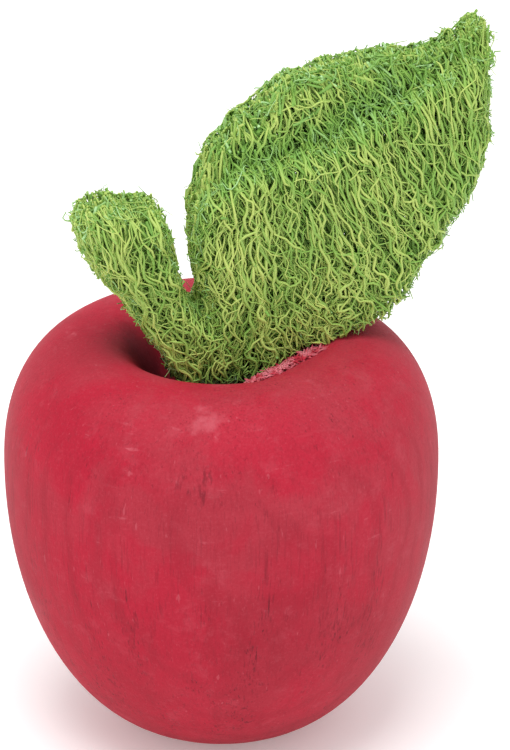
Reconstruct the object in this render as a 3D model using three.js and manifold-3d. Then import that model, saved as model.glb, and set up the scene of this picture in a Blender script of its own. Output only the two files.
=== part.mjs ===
// Wooden apple chew toy. A turned, red-stained wooden apple body holds a leaf and stalk
// that are cut as one piece from a thick sheet of green-dyed luffa.
// Millimetres, +Z up, origin at the centre of the small flat spot that the apple rests on.
import * as THREE from "three";
import { mergeVertices } from "three/addons/utils/BufferGeometryUtils.js";
import Module from "manifold-3d";

// Turned body: heights above the resting spot, radii from the turning axis
const BODY_RADIUS = 26;
const BODY_HEIGHT = 50;
const WIDEST_HEIGHT = 34;
const REST_RADIUS = 6;
const CREST_RADIUS = 14.5;
const BELLY_ROUNDNESS = 2.04;
const SHOULDER_ROUNDNESS = 2.3;
const BODY_SIDES = 60;
const PROFILE_STEPS = 12;

// Well in the top of the body, and the blind hole drilled at its bottom
const WELL_EDGE = { radius: 11.2, height: 49 };
const HOLE_RADIUS = 6.4;
const HOLE_MOUTH_HEIGHT = 41;
const HOLE_FLOOR_HEIGHT = 27;
const WELL_EDGE_ROUNDNESS = 2;
const WELL_EDGE_STEPS = 4;

// Luffa sheet: it stands across the axis, its right side turned away from the front. Depths are
// measured from its middle, and the front is negative.
const SHEET_THICKNESS = 11;
const HALVES_MEET_DEPTH = -2.6;
const SHEET_TURN = THREE.MathUtils.degToRad(17);
const SKIN_THICKNESS = 3.6;
const CUT_EDGE_INSET = 0.6;
const CUT_EDGE_VALLEY = 1.9;
const NET_RELIEF = 0.5;
const LAYER_OVERLAP = 0.5;

// Outline of the sheet, as (across, height) points that smooth curves run through. Along the leaf's
// top the front half of the sheet is cut lower than the back half, which shows behind it.
const NOTCH = [-2.6, 52.8];
const FOOT_TOP = 44;
const FOOT_LEFT = [-5.2, FOOT_TOP];
const FOOT_RIGHT = [3.6, FOOT_TOP];
const FRONT_TOP_EDGE = [NOTCH, [-4.4, 61], [-4.8, 65.5], [-3.4, 69.6], [0.4, 72], [5, 73], [10, 74.2]];
const FRONT_TIP = [[16, 76.6], [22, 79.8], [28, 82.4], [31, 84], [32.7, 83.8]];
const BACK_TOP_EDGE = [NOTCH, [-3.4, 62], [-3.3, 69], [0.1, 75.5], [5.8, 80.2], [13, 83.1], [21, 83.6]];
const BACK_TIP = [[26.4, 83.7], [29.4, 85.2], [31.7, 86.7], [32.6, 85.6]];
const LEAF_RIGHT_EDGE = [[32.5, 82.2], [32.4, 77], [31.9, 69.4], [27.2, 61.1]];
const LEAF_LOWER_EDGE = [[22.6, 54.9], [18.2, 52.1], [10, 50.8], [5.4, 49.4], FOOT_RIGHT];
const STALK_OUTER_EDGE = [FOOT_LEFT, [-7.7, 49.3], [-11.6, 55.4], [-15.6, 60.8], [-17.4, 64.6]];
const STALK_END = [[-17.3, 68], [-14.5, 69.3], [-10, 68.7], [-7.5, 67.4]];
const STALK_INNER_EDGE = [[-6.2, 62], [-4.9, 57], NOTCH];
const OUTLINE_STEP = 1.6;
const INSET_KEEP = 0.97;

// Foot of the sheet, squeezed to fit the drilled hole
const FOOT_HALF_WIDTH = 4.1;
const FOOT_HALF_THICKNESS = 4.2;
const FOOT_OVERLAP = 2.5;
const FOOT_CORNER = 1.2;
const FOOT_CORNER_STEPS = 3;
const FIT_GAP = 0.3;

// Net of luffa strands that stands out of both faces
const STRAND_RADIUS = 0.62;
const STRAND_SIDES = 3;
const MERGE_DISTANCE = 0.01;
const THINNEST_FACE = 0.003;
const FLIP_PASSES = 6;
const RANDOM_SEED = 20516;

// Long strands, which lean along the stalk and away from it in the leaf
const LONG_STRAND_SPACING = [2.1, 2.9];
const LONG_STRAND_STEP = 4.2;
const LONG_STRAND_WAVE = { height: 0.55, length: 7.9 };
const LONG_STRAND_WANDER = 0.25;
const LEAF_LEAN = { from: 0, perMillimetre: 0.011, pivotHeight: 58, room: 8 };
const STALK_LEAN = { from: -4, perMillimetre: 0.025, pivotHeight: 62 };

// Cross strands, which tie the long ones together
const CROSS_STRANDS_PER_FACE = 38;
const CROSS_STRAND_LENGTH = [5, 9];
const CROSS_STRAND_SLOPE = [0.45, 1.35];
const CROSS_STRAND_BOW = 0.8;
const CROSS_STRAND_STEPS = 2;

// Cut strand ends, which stand out of the cut edge
const CUT_END_SPACING = 3.2;
const CUT_END_REACH = [0.45, 0.9];
const CUT_END_ROOT = 1.6;
const CUT_END_SKEW = 0.5;
const CUT_END_DEPTH = [0.75, 1];
const CUT_END_LOWEST = 54;

const RED_STAIN = 0xb8203c;
const LUFFA_GREEN = 0x86a94a;

const wasm = await Module();
wasm.setup();

// Seeded generator, so that the net of strands is the same each time
function seededRandom(seed) {
  let state = seed;
  return () => {
    state = (state + 0x6d2b79f5) | 0;
    let t = Math.imul(state ^ (state >>> 15), 1 | state);
    t = (t + Math.imul(t ^ (t >>> 7), 61 | t)) ^ t;
    return ((t ^ (t >>> 14)) >>> 0) / 4294967296;
  };
}
const random = seededRandom(RANDOM_SEED);
const between = (low, high) => low + (high - low) * random();

function toSolid(geometry, mergeDistance) {
  const bare = geometry.clone();
  bare.deleteAttribute("normal");
  bare.deleteAttribute("uv");
  const merged = mergeVertices(bare, mergeDistance);
  const vertProperties = merged.attributes.position.array;
  const triVerts = new Uint32Array(merged.index.array);
  return new wasm.Manifold(new wasm.Mesh({ numProp: 3, vertProperties, triVerts }));
}

// The largest body of a solid, with the small hollows that joining sealed inside it filled
function outerBody(solid) {
  return solid.decompose().reduce((best, body) => (body.volume() > best.volume() ? body : best));
}

function toGeometry(solid) {
  const mesh = solid.getMesh();
  const geometry = new THREE.BufferGeometry();
  geometry.setAttribute("position", new THREE.BufferAttribute(new Float32Array(mesh.vertProperties), 3));
  geometry.setIndex(new THREE.BufferAttribute(new Uint32Array(mesh.triVerts), 1));
  geometry.computeVertexNormals();
  return geometry;
}

// Joining leaves some triangles that are almost a line. Each one's long side is also a side of a
// neighbour, and the two are split the other way, along the line between their far corners.
function splitSliversAnew(geometry) {
  const corners = geometry.index.array;
  const positions = geometry.attributes.position;
  const owner = new Map();
  const sideKey = (from, to) => from * positions.count + to;
  const sidesOf = (triangle) => [0, 1, 2].map((k) => {
    const at = (step) => corners[3 * triangle + ((k + step) % 3)];
    return { from: at(0), to: at(1), far: at(2) };
  });
  const setCorners = (triangle, indices) => {
    corners.set(indices, 3 * triangle);
    sidesOf(triangle).forEach(({ from, to }) => owner.set(sideKey(from, to), triangle));
  };
  const place = (i) => new THREE.Vector3().fromBufferAttribute(positions, i);
  const lengthOf = ({ from, to }) => place(from).distanceTo(place(to));
  const triangleCount = corners.length / 3;
  for (let triangle = 0; triangle < triangleCount; triangle += 1) {
    setCorners(triangle, corners.slice(3 * triangle, 3 * triangle + 3));
  }
  for (let pass = 0; pass < FLIP_PASSES; pass += 1) {
    for (let triangle = 0; triangle < triangleCount; triangle += 1) {
      const { from, to, far } = sidesOf(triangle).reduce((a, b) => (lengthOf(a) > lengthOf(b) ? a : b));
      const area = new THREE.Triangle(place(from), place(to), place(far)).getArea();
      if ((2 * area) / lengthOf({ from, to }) > THINNEST_FACE) continue;
      const neighbour = owner.get(sideKey(to, from));
      const beyond = sidesOf(neighbour).find((side) => side.from === to).far;
      if (owner.has(sideKey(far, beyond)) || owner.has(sideKey(beyond, far))) continue;
      owner.delete(sideKey(from, to));
      owner.delete(sideKey(to, from));
      setCorners(triangle, [far, from, beyond]);
      setCorners(neighbour, [beyond, to, far]);
    }
  }
  geometry.computeVertexNormals();
  return geometry;
}

// Quarter of a rounded curve from the foot of a height to its top, as fractions of radius and height
function roundedQuarter(roundness, steps) {
  return Array.from({ length: steps + 1 }, (_, i) => {
    const turn = (Math.PI / 2) * (i / steps);
    return [Math.cos(turn) ** (2 / roundness), Math.sin(turn) ** (2 / roundness)];
  });
}

function bodyProfile() {
  const belly = roundedQuarter(BELLY_ROUNDNESS, PROFILE_STEPS)
    .map(([out, up]) => [REST_RADIUS + (BODY_RADIUS - REST_RADIUS) * out, WIDEST_HEIGHT * (1 - up)])
    .reverse();
  const shoulder = roundedQuarter(SHOULDER_ROUNDNESS, PROFILE_STEPS).map(([out, up]) => [
    CREST_RADIUS + (BODY_RADIUS - CREST_RADIUS) * out,
    WIDEST_HEIGHT + (BODY_HEIGHT - WIDEST_HEIGHT) * up,
  ]);
  const wellEdge = roundedQuarter(WELL_EDGE_ROUNDNESS, WELL_EDGE_STEPS).map(([out, up]) => [
    WELL_EDGE.radius + (CREST_RADIUS - WELL_EDGE.radius) * (1 - up),
    WELL_EDGE.height + (BODY_HEIGHT - WELL_EDGE.height) * out,
  ]);
  return [
    [0, 0],
    ...belly,
    ...shoulder.slice(1),
    ...wellEdge.slice(1),
    [HOLE_RADIUS, HOLE_MOUTH_HEIGHT],
    [HOLE_RADIUS, HOLE_FLOOR_HEIGHT],
    [0, HOLE_FLOOR_HEIGHT],
  ].map(([radius, height]) => new THREE.Vector2(radius, height));
}

function makeBody() {
  const geometry = new THREE.LatheGeometry(bodyProfile(), BODY_SIDES);
  const material = new THREE.MeshStandardMaterial({ color: RED_STAIN, roughness: 0.62, metalness: 0 });
  const mesh = new THREE.Mesh(geometry, material);
  mesh.name = "apple_body";
  mesh.rotation.x = Math.PI / 2;
  return mesh;
}

// The outline of one half of the sheet, as points in order from the notch round the leaf, the foot
// and the stalk
function sheetOutline(topEdge, tip) {
  const leaf = [...topEdge, ...tip, ...LEAF_RIGHT_EDGE, ...LEAF_LOWER_EDGE];
  const stalk = [...STALK_OUTER_EDGE, ...STALK_END, ...STALK_INNER_EDGE];
  const [leafEdge, stalkEdge] = [leaf, stalk].map((points) => {
    const curve = new THREE.SplineCurve(points.map((point) => new THREE.Vector2(...point)));
    return curve.getSpacedPoints(Math.round(curve.getLength() / OUTLINE_STEP));
  });
  return [...leafEdge, ...stalkEdge.slice(0, -1)];
}

const areaOf = (points) => THREE.ShapeUtils.area(points);

// Moves each point of a closed outline inwards, square to the line between its neighbours,
// and drops the points that a tight corner would carry past the other side
function insetOutline(points, inset) {
  const inward = areaOf(points) > 0 ? 1 : -1;
  const moved = points.map((point, i) => {
    const before = points[(i + points.length - 1) % points.length];
    const after = points[(i + 1) % points.length];
    const along = after.clone().sub(before).normalize();
    return new THREE.Vector2(point.x - along.y * inset * inward, point.y + along.x * inset * inward);
  });
  return moved.filter((place) => points.every((point) => place.distanceTo(point) > inset * INSET_KEEP));
}

function isInside(points, across, height) {
  let inside = false;
  points.forEach((a, i) => {
    const b = points[(i + 1) % points.length];
    const crosses = a.y > height !== b.y > height;
    if (crosses && across < a.x + ((height - a.y) / (b.y - a.y)) * (b.x - a.x)) inside = !inside;
  });
  return inside;
}

// A flat layer of the sheet between two depths
function makeLayer(outline, front, back) {
  const shape = new THREE.Shape(outline);
  const geometry = new THREE.ExtrudeGeometry(shape, { depth: back - front, bevelEnabled: false });
  geometry.rotateX(Math.PI / 2);
  geometry.translate(0, back, 0);
  return toSolid(geometry);
}

// A three-sided strand that runs through points given as [across, depth, height], with a ridge
// that points out of the front face (side -1) or the back face (side 1)
function makeStrand(points, steps, side) {
  const section = new THREE.Shape(
    Array.from({ length: STRAND_SIDES }, (_, i) => {
      const turn = (2 * Math.PI * i) / STRAND_SIDES;
      return new THREE.Vector2(-side * STRAND_RADIUS * Math.cos(turn), STRAND_RADIUS * Math.sin(turn));
    }),
  );
  const path = new THREE.CatmullRomCurve3(points.map((point) => new THREE.Vector3(...point)));
  return toSolid(new THREE.ExtrudeGeometry(section, { steps, extrudePath: path, bevelEnabled: false }));
}

// How far a long strand lies to the right of its start at a height
function strandShift(start, height) {
  const leaf = Math.max(start - LEAF_LEAN.from, 0) * LEAF_LEAN.perMillimetre;
  const stalk = Math.max(STALK_LEAN.from - start, 0) * STALK_LEAN.perMillimetre;
  return -leaf * (height - LEAF_LEAN.pivotHeight) - stalk * (height - STALK_LEAN.pivotHeight);
}

// Long strands run up the sheet, and each stretch of one that lies inside the outline is made
function longStrands(inner, face, side) {
  const strands = [];
  const columns = inner.map((point) => point.x);
  const top = Math.max(...inner.map((point) => point.y)) + LONG_STRAND_STEP;
  const last = Math.max(...columns) + LEAF_LEAN.room;
  for (let start = Math.min(...columns); start < last; start += between(...LONG_STRAND_SPACING)) {
    const phase = between(0, 2 * Math.PI);
    let run = [];
    for (let height = FOOT_TOP; height <= top; height += LONG_STRAND_STEP) {
      const turn = phase + (2 * Math.PI * height) / LONG_STRAND_WAVE.length;
      const wave = LONG_STRAND_WAVE.height * Math.sin(turn);
      const wander = between(-LONG_STRAND_WANDER, LONG_STRAND_WANDER);
      const across = start + strandShift(start, height) + wave + wander;
      if (isInside(inner, across, height)) {
        run.push([across, side * face, height]);
        continue;
      }
      if (run.length > 1) strands.push(makeStrand(run, run.length - 1, side));
      run = [];
    }
  }
  return strands;
}

// Cross strands tie the long ones together at random slopes
function crossStrands(inner, face, side) {
  const strands = [];
  const xs = inner.map((point) => point.x);
  const ys = inner.map((point) => point.y);
  while (strands.length < CROSS_STRANDS_PER_FACE) {
    const across = between(Math.min(...xs), Math.max(...xs));
    const height = between(Math.min(...ys), Math.max(...ys));
    const slope = between(...CROSS_STRAND_SLOPE) * (random() < 0.5 ? -1 : 1);
    const half = between(...CROSS_STRAND_LENGTH) / 2;
    const bow = between(-CROSS_STRAND_BOW, CROSS_STRAND_BOW);
    const points = [-1, 0, 1].map((end) => [
      across + end * half * Math.sin(slope) + (end === 0 ? bow : 0),
      side * face,
      height + end * half * Math.cos(slope),
    ]);
    const fits = points.every(([x, , y]) => isInside(inner, x, y));
    if (fits) strands.push(makeStrand(points, CROSS_STRAND_STEPS, side));
  }
  return strands;
}

// Cut strand ends stand out of the cut edge, along one skin
function cutEnds(outline, face, side) {
  const ends = [];
  const outward = areaOf(outline) > 0 ? 1 : -1;
  const edge = new THREE.SplineCurve([...outline, outline[0]]);
  const count = Math.round(edge.getLength() / CUT_END_SPACING);
  for (let i = 0; i < count; i += 1) {
    const point = edge.getPointAt(i / count);
    const along = edge.getTangentAt(i / count);
    const skew = between(-CUT_END_SKEW, CUT_END_SKEW);
    const reach = between(...CUT_END_REACH);
    const depth = side * face * between(...CUT_END_DEPTH);
    if (point.y < CUT_END_LOWEST) continue;
    const out = new THREE.Vector2(along.y * outward, -along.x * outward);
    out.addScaledVector(along, skew).normalize();
    const root = point.clone().addScaledVector(out, -CUT_END_ROOT);
    const end = point.clone().addScaledVector(out, reach);
    ends.push(makeStrand([[root.x, depth, root.y], [end.x, depth, end.y]], 1, side));
  }
  return ends;
}

// The squeezed foot: a rounded block from the hole's floor up into the sheet
function makeFoot() {
  const [w, t, c] = [FOOT_HALF_WIDTH, FOOT_HALF_THICKNESS, FOOT_CORNER];
  const section = new THREE.Shape()
    .moveTo(-w + c, -t)
    .lineTo(w - c, -t)
    .absarc(w - c, -t + c, c, -Math.PI / 2, 0)
    .lineTo(w, t - c)
    .absarc(w - c, t - c, c, 0, Math.PI / 2)
    .lineTo(-w + c, t)
    .absarc(-w + c, t - c, c, Math.PI / 2, Math.PI)
    .lineTo(-w, -t + c)
    .absarc(-w + c, -t + c, c, Math.PI, Math.PI * 1.5);
  const bottom = HOLE_FLOOR_HEIGHT + FIT_GAP;
  const depth = FOOT_TOP + FOOT_OVERLAP - bottom;
  const geometry = new THREE.ExtrudeGeometry(section, {
    depth,
    bevelEnabled: false,
    curveSegments: FOOT_CORNER_STEPS,
  });
  geometry.translate(0, 0, bottom);
  return toSolid(geometry);
}

function makeLuffa() {
  const front = sheetOutline(FRONT_TOP_EDGE, FRONT_TIP);
  const back = sheetOutline(BACK_TOP_EDGE, BACK_TIP);
  const face = SHEET_THICKNESS / 2 - NET_RELIEF;
  const skinBack = face - SKIN_THICKNESS;
  const core = face - LAYER_OVERLAP;
  const pieces = [
    makeLayer(insetOutline(front, CUT_EDGE_INSET), -face, -skinBack),
    makeLayer(insetOutline(front, CUT_EDGE_VALLEY), -core, HALVES_MEET_DEPTH + LAYER_OVERLAP),
    makeLayer(insetOutline(back, CUT_EDGE_VALLEY), HALVES_MEET_DEPTH, core),
    makeLayer(insetOutline(back, CUT_EDGE_INSET), skinBack, face),
    makeFoot(),
    ...longStrands(insetOutline(back, CUT_EDGE_VALLEY + STRAND_RADIUS), -HALVES_MEET_DEPTH, -1),
  ];
  for (const [outline, side] of [[front, -1], [back, 1]]) {
    const inner = insetOutline(outline, CUT_EDGE_INSET + STRAND_RADIUS);
    pieces.push(...longStrands(inner, face, side));
    pieces.push(...crossStrands(inner, face, side));
    pieces.push(...cutEnds(insetOutline(outline, CUT_EDGE_INSET), face, side));
  }
  const material = new THREE.MeshStandardMaterial({ color: LUFFA_GREEN, roughness: 0.9, metalness: 0 });
  const joined = toGeometry(outerBody(wasm.Manifold.union(pieces)));
  const solid = outerBody(toSolid(joined, MERGE_DISTANCE));
  const mesh = new THREE.Mesh(splitSliversAnew(toGeometry(solid)), material);
  mesh.name = "luffa_leaf";
  mesh.rotation.z = SHEET_TURN;
  return mesh;
}

const apple = new THREE.Group();
apple.add(makeBody(), makeLuffa());

export default apple;
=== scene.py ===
"""A wooden apple chew toy, laid out as an add-on and run as a script.

The red-stained body is turned wood. The leaf and the stalk are one piece of green-dyed luffa, made
here strand by strand. The luffa sheet has its own coordinates, in millimetres: across the sheet, into
its depth (the front is negative) and up its height.
"""

import math
from typing import NamedTuple

import bmesh
import bpy
import numpy as np
from bpy.props import FloatProperty, FloatVectorProperty, IntProperty, PointerProperty
from mathutils import Euler, Matrix, Vector, noise


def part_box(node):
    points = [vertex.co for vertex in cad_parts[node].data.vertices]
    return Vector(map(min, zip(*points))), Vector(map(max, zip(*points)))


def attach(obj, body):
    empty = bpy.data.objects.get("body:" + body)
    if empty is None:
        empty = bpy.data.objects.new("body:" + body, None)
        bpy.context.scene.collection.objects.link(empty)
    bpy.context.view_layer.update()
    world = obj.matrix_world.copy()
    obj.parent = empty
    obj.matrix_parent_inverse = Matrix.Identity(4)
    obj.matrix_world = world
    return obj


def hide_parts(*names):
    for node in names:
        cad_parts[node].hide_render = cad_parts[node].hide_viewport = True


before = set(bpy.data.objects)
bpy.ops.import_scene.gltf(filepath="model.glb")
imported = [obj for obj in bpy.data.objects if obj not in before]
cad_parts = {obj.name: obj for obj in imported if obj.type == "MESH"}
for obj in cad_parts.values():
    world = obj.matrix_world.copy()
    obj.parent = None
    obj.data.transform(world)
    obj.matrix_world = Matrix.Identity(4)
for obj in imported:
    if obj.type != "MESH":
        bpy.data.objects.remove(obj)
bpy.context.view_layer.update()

bl_info = {
    "name": "Wooden Apple Chew Toy",
    "version": (1, 0, 0),
    "blender": (4, 5, 0),
    "location": "View3D > Sidebar > Apple Toy",
    "description": "Turns a stained wooden apple and weaves its luffa leaf",
    "category": "Object",
}

MM = 0.001
_, BODY_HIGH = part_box("apple_body")

# Fineness of the turned body
BODY_SIDES = 288
CURVE_STEPS = 30
LIP_STEPS = 18
LIP_SHARE = 0.45
WALL_STEPS = 16

# Torn grain on the front right of the well's lip, where the lip runs straight: its middle's direction and
# distance from the axis, its half width as an angle, the band's width and depth, and its splinters
TEAR_ANGLE = math.radians(-40)
TEAR_DISTANCE = 9.7 * MM
TEAR_HALF_ANGLE = math.radians(36)
TEAR_WIDTH = 2.4 * MM
TEAR_DEPTH = 0.5 * MM
SPLINTER_COUNT = 260
SPLINTER_SEED = 7

# Places of single marks on the wood, in metres: the pith that the growth rings run round, a pale rubbed
# patch, dark flecks below it, and the middle of a painted shadow on the well's left wall, next to the stalk
PITH = (-0.006, 0.052, 0)
RUBBED_PATCH = (-0.0017, -0.0195, 0.047)
FLECKS = (-0.0024, -0.0252, 0.042)
WELL_SHADOW = (-0.0094, 0.002, 0.0466)

# Outline of the sheet, in millimetres: smooth curves run through these points. Along the leaf's top the
# front half of the sheet is cut lower than the back half, which shows behind it.
NOTCH = (-2.6, 52.8)
FOOT_TOP = 44
FRONT_TOP_EDGE = [
    NOTCH, (-4.4, 61), (-4.8, 65.5), (-3.4, 69.6), (0.4, 72), (5, 73), (10, 74.2), (16, 76.6), (22, 79.8),
    (28, 82.4), (31, 84), (32.7, 83.8),
]
BACK_TOP_EDGE = [
    NOTCH, (-3.4, 62), (-3.3, 69), (0.1, 75.5), (5.8, 80.2), (13, 83.1), (21, 83.6), (26.4, 83.7),
    (29.4, 85.2), (31.7, 86.7), (32.6, 85.6),
]
LEAF_LOWER_EDGE = [
    (32.5, 82.2), (32.4, 77), (31.9, 69.4), (27.2, 61.1), (22.6, 54.9), (18.2, 51.4), (10.4, 49.4),
    (6.4, 47.8), (4.2, FOOT_TOP),
]
STALK_EDGE = [
    (-5.2, FOOT_TOP), (-7.7, 49.3), (-11.6, 55.4), (-15.6, 60.8), (-17.4, 64.6), (-17.3, 68),
    (-14.5, 69.3), (-10, 68.7), (-7.5, 67.4), (-6.2, 62), (-4.9, 57), NOTCH,
]

# Steps between two points of the outline, the grid on which distances to it are kept, and the size of the
# small bumps that scissors leave in it
SPAN_STEPS = 9
GRID_STEP = 0.35
GRID_MARGIN = 4.0
RAGGED = 0.16

# Where the two halves of the sheet meet, how far the back half's own face runs down behind the front half,
# and how far to each side of the front half's top the fold between them shows
STEP_DEPTH = -2.6
BAND_OVERLAP = 2.5
FOLD_WIDTH = 3.2

# Foot of the sheet in the drilled hole: half its width and depth, and its strands' heights and number
FOOT_HALF = (3.7, 3.8)
FOOT_HEIGHTS = (27.7, 50.0)
FOOT_STRANDS = 130

# Cut edge: width and depth of the round at both faces, strands for each millimetre of depth, how far in they
# lie, and how far they stay from both faces
RIM_WIDTH = 2.3
RIM_DEPTH = 3.4
EDGE_DENSITY = 380
EDGE_FILL = 2.6
EDGE_FROM_FACE = 2.3

# Fray on each half's cut edge: its strands, and how far they stay from both faces
FRAY_STRANDS = 800
FRAY_FROM_FACE = 1.2

# Loose tangle inside the sheet: its layers, and the cell in which each strand is sown
CORE_LAYERS = 3
CORE_CELL = (1.6, 1.6)

# Woven faces: how many layers their outer piece has, depth of the first layer, step between layers, and depth
# of full painted shade
OUTER_LAYERS = 2
FIRST_LAYER = 0.22
LAYER_STEP = 0.6
SHADE_DEPTH = 3.4

# Lean of the strands from upright: in the leaf's middle, at the stalk's foot, and how much less at its end
LEAF_LEAN = math.radians(21)
STALK_LEAN = math.radians(33)
STALK_STRAIGHTENS = math.radians(19)

# A woven strand's tint: the most that is its own, and the weights of the dye's drift and of the fold
OWN_TINT = 0.34
DRIFT_TINT = 0.22
FOLD_TINT = 0.32

# Strands: each is a tube with this many sides, with a point at each step along it. A short strand of a tangle
# has this many points.
STRAND_SIDES = 6
STRAND_STEP = 0.75
TANGLE_POINTS = 7

# The luffa's material, its map of tints and shades, and how wide a ring of a strand's corners is on that map
LUFFA_FINISH = "dyed_luffa_strands"
BAKE_MAP = "OFBake"
BAKE_WIDTH = 0.012


def linear(code):
    """A colour written as six hexadecimal digits, as linear red, green and blue."""
    parts = [int(code[i : i + 2], 16) / 255 for i in (0, 2, 4)]
    return tuple(c / 12.92 if c <= 0.04045 else ((c + 0.055) / 1.055) ** 2.4 for c in parts)


def length(name, description, default):
    """A setting that is a length in metres."""
    return FloatProperty(name=name, description=description, default=default, unit="LENGTH", precision=5)


def colour(name, description, code):
    """A setting that is a colour, given by its code."""
    return FloatVectorProperty(
        name=name, description=description, default=linear(code), subtype="COLOR", min=0, max=1
    )


class BodySettings(bpy.types.PropertyGroup):
    """Sizes and stain of the turned body"""

    radius: length("Radius", "Radius where the body is widest", BODY_HIGH.x)
    height: length("Height", "Height of the crest round the well", BODY_HIGH.z)
    widest_height: length("Widest Height", "Height where the body is widest", 34 * MM)
    rest_radius: length("Rest Radius", "Radius of the flat spot underneath", 6 * MM)
    crest_radius: length("Crest Radius", "Radius of the crest round the well", 14.5 * MM)
    lip_radius: length("Lip Radius", "Radius of the well's lip", 11.2 * MM)
    lip_height: length("Lip Height", "Height of the well's lip", 49 * MM)
    hole_radius: length("Hole Radius", "Radius of the drilled hole", 6.4 * MM)
    hole_mouth: length("Hole Mouth", "Height of the drilled hole's mouth", 41 * MM)
    hole_floor: length("Hole Floor", "Height of the drilled hole's floor", 27 * MM)
    belly_roundness: FloatProperty(
        name="Belly Roundness", description="2 is an ellipse, more is squarer", default=2.04
    )
    shoulder_roundness: FloatProperty(
        name="Shoulder Roundness", description="2 is an ellipse, more is squarer", default=2.3
    )
    stain_bright: colour("Bright Stain", "Fresh red stain", "bb1d37")
    stain_dull: colour("Dull Stain", "Thinner, greyer stain", "b13a47")
    # The deep stain colour is also used as painted shade on the lower body
    deep_stain_and_shade: colour("Deep Stain", "Stain that pooled in the grain", "981f2f")
    stain_pale: colour("Pale Stain", "Rubbed stain", "d46f7b")
    pore: colour("Pores", "Dark pores of the wood", "5c1a24")
    torn: colour("Torn Grain", "Torn fibres that took little stain", "e27f8c")


class LuffaSettings(bpy.types.PropertyGroup):
    """Sizes, strands and dye of the luffa sheet"""

    thickness: length("Thickness", "Thickness of the sheet", 11 * MM)
    turn: FloatProperty(
        name="Turn", description="Turn about the upright axis", default=math.radians(17), subtype="ANGLE"
    )
    seed: IntProperty(name="Seed", description="Seed of the strands' random draws", default=41)
    pale: colour("Pale Fibre", "Lightest, yellowest strands", "c4d872")
    leafy: colour("Leafy Fibre", "Greenest strands", "84b24b")
    cut: colour("Cut Fibre", "Strands of the cut edge, which took a bluer dye", "bbe6a4")
    # Painted shade: strands deep in the sheet are mixed towards this colour
    inner: colour("Inner Fibre", "Strands deep in the sheet", "80b050")
    # Painted shade for the strands down in the well
    well_shade: colour("Sunk Fibre", "Strands down in the well", "4e663c")


class StageSettings(bpy.types.PropertyGroup):
    """Camera, light and floor"""

    distance: length("Distance", "From the camera to its target", 0.7)
    elevation: FloatProperty(
        name="Elevation", description="Camera's angle above the floor", default=0.4351, subtype="ANGLE"
    )
    target: FloatVectorProperty(
        name="Target",
        description="Point in the middle of the picture",
        default=(4.03 * MM, 0, 44.82 * MM),
        unit="LENGTH",
    )
    lens: FloatProperty(name="Lens", description="Focal length in millimetres", default=282.4)
    key_place: FloatVectorProperty(
        name="Key Place", description="Place of the key light", default=(-0.07, -0.19, 0.90), unit="LENGTH"
    )
    key_size: length("Key Size", "Width of the key light", 0.5)
    key_power: FloatProperty(name="Key Power", description="Power of the key light in watts", default=4.8)
    sky: FloatProperty(name="Sky", description="Strength of the even light all round", default=0.75)
    floor: colour("Floor", "Colour of the floor", "fafafa")
    floor_glow: FloatProperty(name="Floor Glow", description="Light that the floor gives off", default=0.22)


class Shade:
    """A node's output that takes part in Python arithmetic: each operator adds a Math node."""

    def __init__(self, socket):
        self.socket = socket

    def maths(self, operation, first, second):
        tree = self.socket.id_data
        return add_node(tree, "ShaderNodeMath", {"operation": operation}, {0: first, 1: second})

    def __add__(self, other):
        return self.maths("ADD", self, other)

    def __radd__(self, other):
        return self.maths("ADD", other, self)

    def __sub__(self, other):
        return self.maths("SUBTRACT", self, other)

    def __rsub__(self, other):
        return self.maths("SUBTRACT", other, self)

    def __mul__(self, other):
        return self.maths("MULTIPLY", self, other)

    def __rmul__(self, other):
        return self.maths("MULTIPLY", other, self)


def add_node(tree, kind, settings, sockets, output=0):
    """Adds a node, with its settings first and then its sockets' values or links."""
    node = tree.nodes.new(kind)
    for name, value in settings.items():
        setattr(node, name, value)
    for key, value in sockets.items():
        if isinstance(value, Shade):
            tree.links.new(value.socket, node.inputs[key])
        else:
            node.inputs[key].default_value = value
    return Shade(node.outputs[output])


class Finish:
    """A material with the few kinds of node that its surface needs."""

    def __init__(self, name):
        self.material = bpy.data.materials.new(name)
        self.material.use_nodes = True
        self.tree = self.material.node_tree
        self.shader = self.tree.nodes["Principled BSDF"]

    def node(self, kind, settings, sockets, output=0):
        return add_node(self.tree, kind, settings, sockets, output)

    def place(self):
        return self.node("ShaderNodeTexCoord", {}, {}, "Object")

    def stretched(self, place, scale, turn=(0, 0, 0)):
        return self.node("ShaderNodeMapping", {}, {"Vector": place, "Scale": scale, "Rotation": turn})

    def clouds(self, place, scale, detail=2.0, roughness=0.5, distortion=0.0):
        sockets = {
            "Vector": place,
            "Scale": scale,
            "Detail": detail,
            "Roughness": roughness,
            "Distortion": distortion,
        }
        return self.node("ShaderNodeTexNoise", {}, sockets)

    def distance(self, place, centre):
        return self.node("ShaderNodeVectorMath", {"operation": "DISTANCE"}, {0: place, 1: centre}, "Value")

    def ramp(self, value, low, high):
        """0 up to low, 1 from high, and smooth between; high may be the smaller."""
        sockets = {0: value, 1: low, 2: high, 3: 0.0, 4: 1.0}
        return self.node("ShaderNodeMapRange", {"interpolation_type": "SMOOTHSTEP"}, sockets)

    def blot(self, place, centre, scale, ragged, outer, inner):
        """1 up to an inner distance from a centre and 0 from an outer one, with a ragged edge."""
        return self.ramp(self.distance(place, centre) + self.clouds(place, scale, 3) * ragged, outer, inner)

    def mixed(self, share, first, second):
        first, second = (c if isinstance(c, Shade) else (*c, 1) for c in (first, second))
        return self.node("ShaderNodeMix", {"data_type": "RGBA"}, {0: share, 6: first, 7: second}, 2)

    def surface(self, **sockets):
        """Sets the shader's sockets; an underscore stands for a space in a socket's name."""
        for name, value in sockets.items():
            socket = self.shader.inputs[name.replace("_", " ")]
            if isinstance(value, Shade):
                self.tree.links.new(value.socket, socket)
            else:
                socket.default_value = value
        return self.material


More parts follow.
